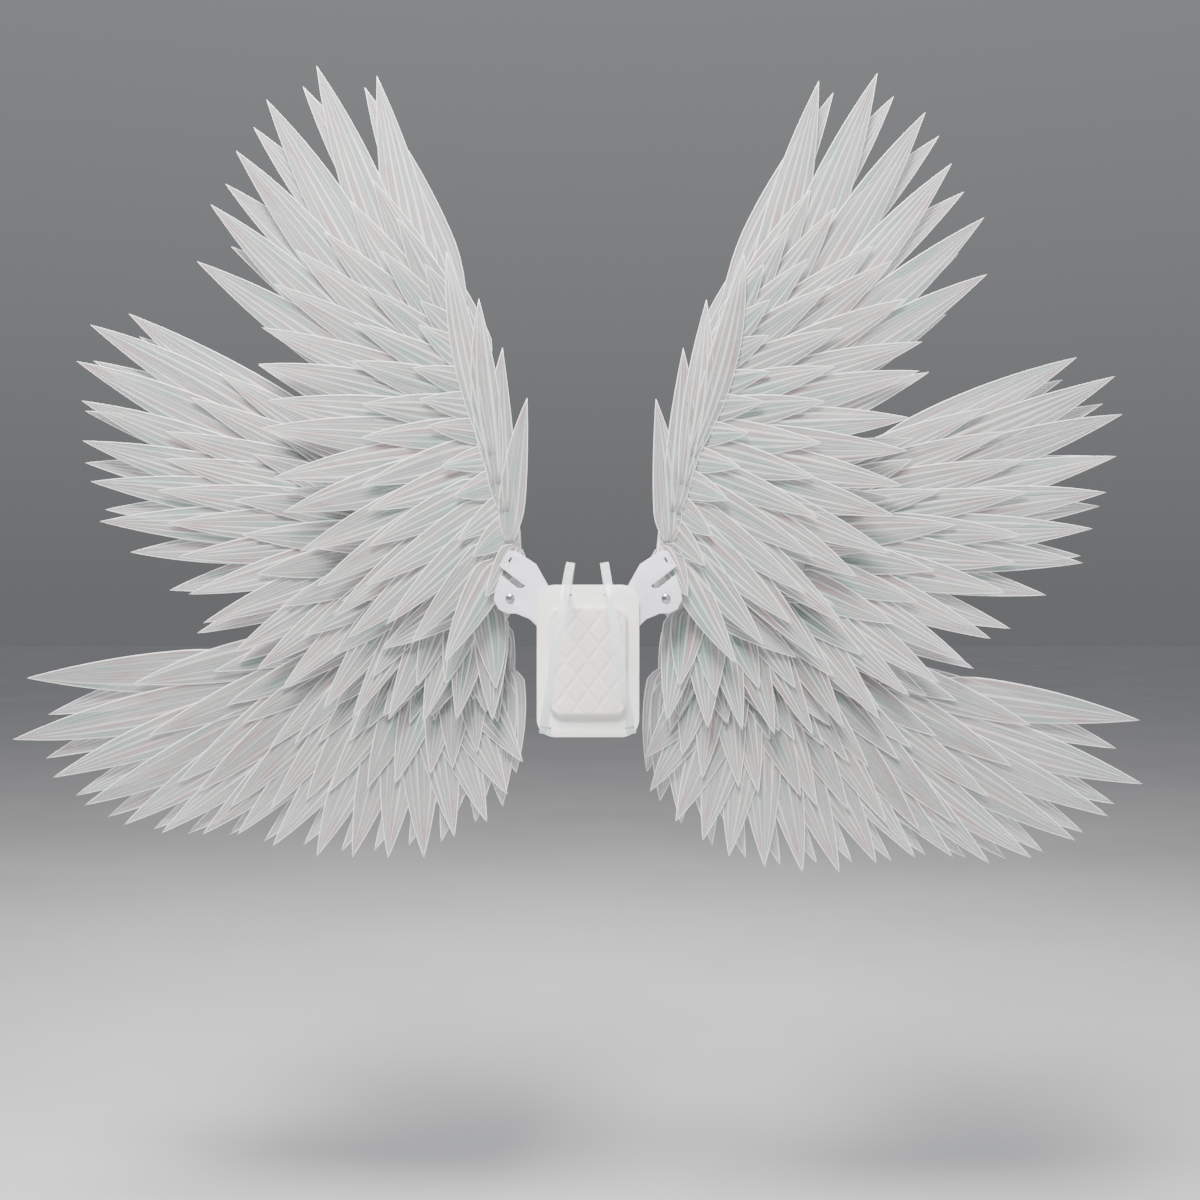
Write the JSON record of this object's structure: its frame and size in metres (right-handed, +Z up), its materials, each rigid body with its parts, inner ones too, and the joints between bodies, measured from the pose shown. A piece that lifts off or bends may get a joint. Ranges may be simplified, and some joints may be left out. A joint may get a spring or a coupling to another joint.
{
  "type": "fairy wings",
  "caption": "Large white costume wings of pleated fabric feathers in three fans a side, on hinged arms and a padded back plate with shoulder straps.",
  "frame": {"origin": "centre of the back pad's face where it rests on the wearer's back", "axes": "+Z up, -Y towards the wearer, +X towards the wearer's left hand"},
  "size_m": [2.2294, 0.323, 1.5709],
  "materials": {
    "feather": "translucent pleated polyester, satin",
    "board": "white PVC board, satin",
    "painted_plate": "white powder coat",
    "steel": "zinc plated",
    "nylon": "natural nylon",
    "lock": "dark grey moulded nylon",
    "strap": "clear TPU",
    "foam": "white knit over foam"
  },
  "bodies": {
    "harness": {"back_plate": "board", "back_pad": "foam", "left_hinge_leaf": "steel", "left_hinge_pin": "steel", "left_hinge_screw_upper": "steel", "left_hinge_screw_lower": "steel", "left_strap": "strap", "right_hinge_leaf": "steel", "right_hinge_pin": "steel", "right_hinge_screw_upper": "steel", "right_hinge_screw_lower": "steel", "right_strap": "strap"},
    "left_middle": {"left_middle_short_coverts": "feather", "left_middle_coverts": "feather", "left_middle_primaries": "feather", "left_middle_board": "board", "left_middle_rear_feathers": "feather"},
    "left_lower": {"left_lower_coverts": "feather", "left_lower_primaries": "feather", "left_lower_board": "board", "left_lower_rear_feathers": "feather"},
    "left_wing": {"left_arm": "painted_plate", "left_hub_bolt": "steel", "left_hub_spacer_front": "nylon", "left_hub_spacer_middle": "nylon", "left_hub_spacer_rear": "nylon", "left_wing_nut": "steel", "left_lock_tab": "lock", "left_upper_edge_feathers": "feather", "left_upper_short_coverts": "feather", "left_upper_long_coverts": "feather", "left_upper_secondaries": "feather", "left_upper_primaries": "feather", "left_upper_board": "board", "left_upper_rear_feathers": "feather"},
    "left_keeper": {"left_strap_keeper": "strap"},
    "right_middle": {"right_middle_short_coverts": "feather", "right_middle_coverts": "feather", "right_middle_primaries": "feather", "right_middle_board": "board", "right_middle_rear_feathers": "feather"},
    "right_lower": {"right_lower_coverts": "feather", "right_lower_primaries": "feather", "right_lower_board": "board", "right_lower_rear_feathers": "feather"},
    "right_wing": {"right_arm": "painted_plate", "right_hub_bolt": "steel", "right_hub_spacer_front": "nylon", "right_hub_spacer_middle": "nylon", "right_hub_spacer_rear": "nylon", "right_wing_nut": "steel", "right_lock_tab": "lock", "right_upper_edge_feathers": "feather", "right_upper_short_coverts": "feather", "right_upper_long_coverts": "feather", "right_upper_secondaries": "feather", "right_upper_primaries": "feather", "right_upper_board": "board", "right_upper_rear_feathers": "feather"},
    "right_keeper": {"right_strap_keeper": "strap"}
  },
  "joints": [
    {"name": "left_wing_fold", "type": "hinge", "parent": "harness", "child": "left_wing", "pos_m": [0.038, 0.0218, 0], "axis": [0, 0, 1], "range_deg": [0, 50]},
    {"name": "left_middle_fan", "type": "hinge", "parent": "left_wing", "child": "left_middle", "pos_m": [0.15, 0.067, 0.12], "axis": [0, -1, 0], "range_deg": [-6, 38]},
    {"name": "left_lower_fan", "type": "hinge", "parent": "left_wing", "child": "left_lower", "pos_m": [0.15, 0.09, 0.12], "axis": [0, -1, 0], "range_deg": [-6, 52]},
    {"name": "left_keeper_slide", "type": "slide", "parent": "harness", "child": "left_keeper", "axis": [0, -1, 0], "range_m": [0, 0.028]},
    {"name": "right_wing_fold", "type": "hinge", "parent": "harness", "child": "right_wing", "pos_m": [-0.038, 0.0218, 0], "axis": [0, 0, -1], "range_deg": [0, 50]},
    {"name": "right_middle_fan", "type": "hinge", "parent": "right_wing", "child": "right_middle", "pos_m": [-0.15, 0.067, 0.12], "axis": [0, 1, 0], "range_deg": [-6, 38]},
    {"name": "right_lower_fan", "type": "hinge", "parent": "right_wing", "child": "right_lower", "pos_m": [-0.15, 0.09, 0.12], "axis": [0, 1, 0], "range_deg": [-6, 52]},
    {"name": "right_keeper_slide", "type": "slide", "parent": "harness", "child": "right_keeper", "axis": [0, -1, 0], "range_m": [0, 0.028]}
  ]
}
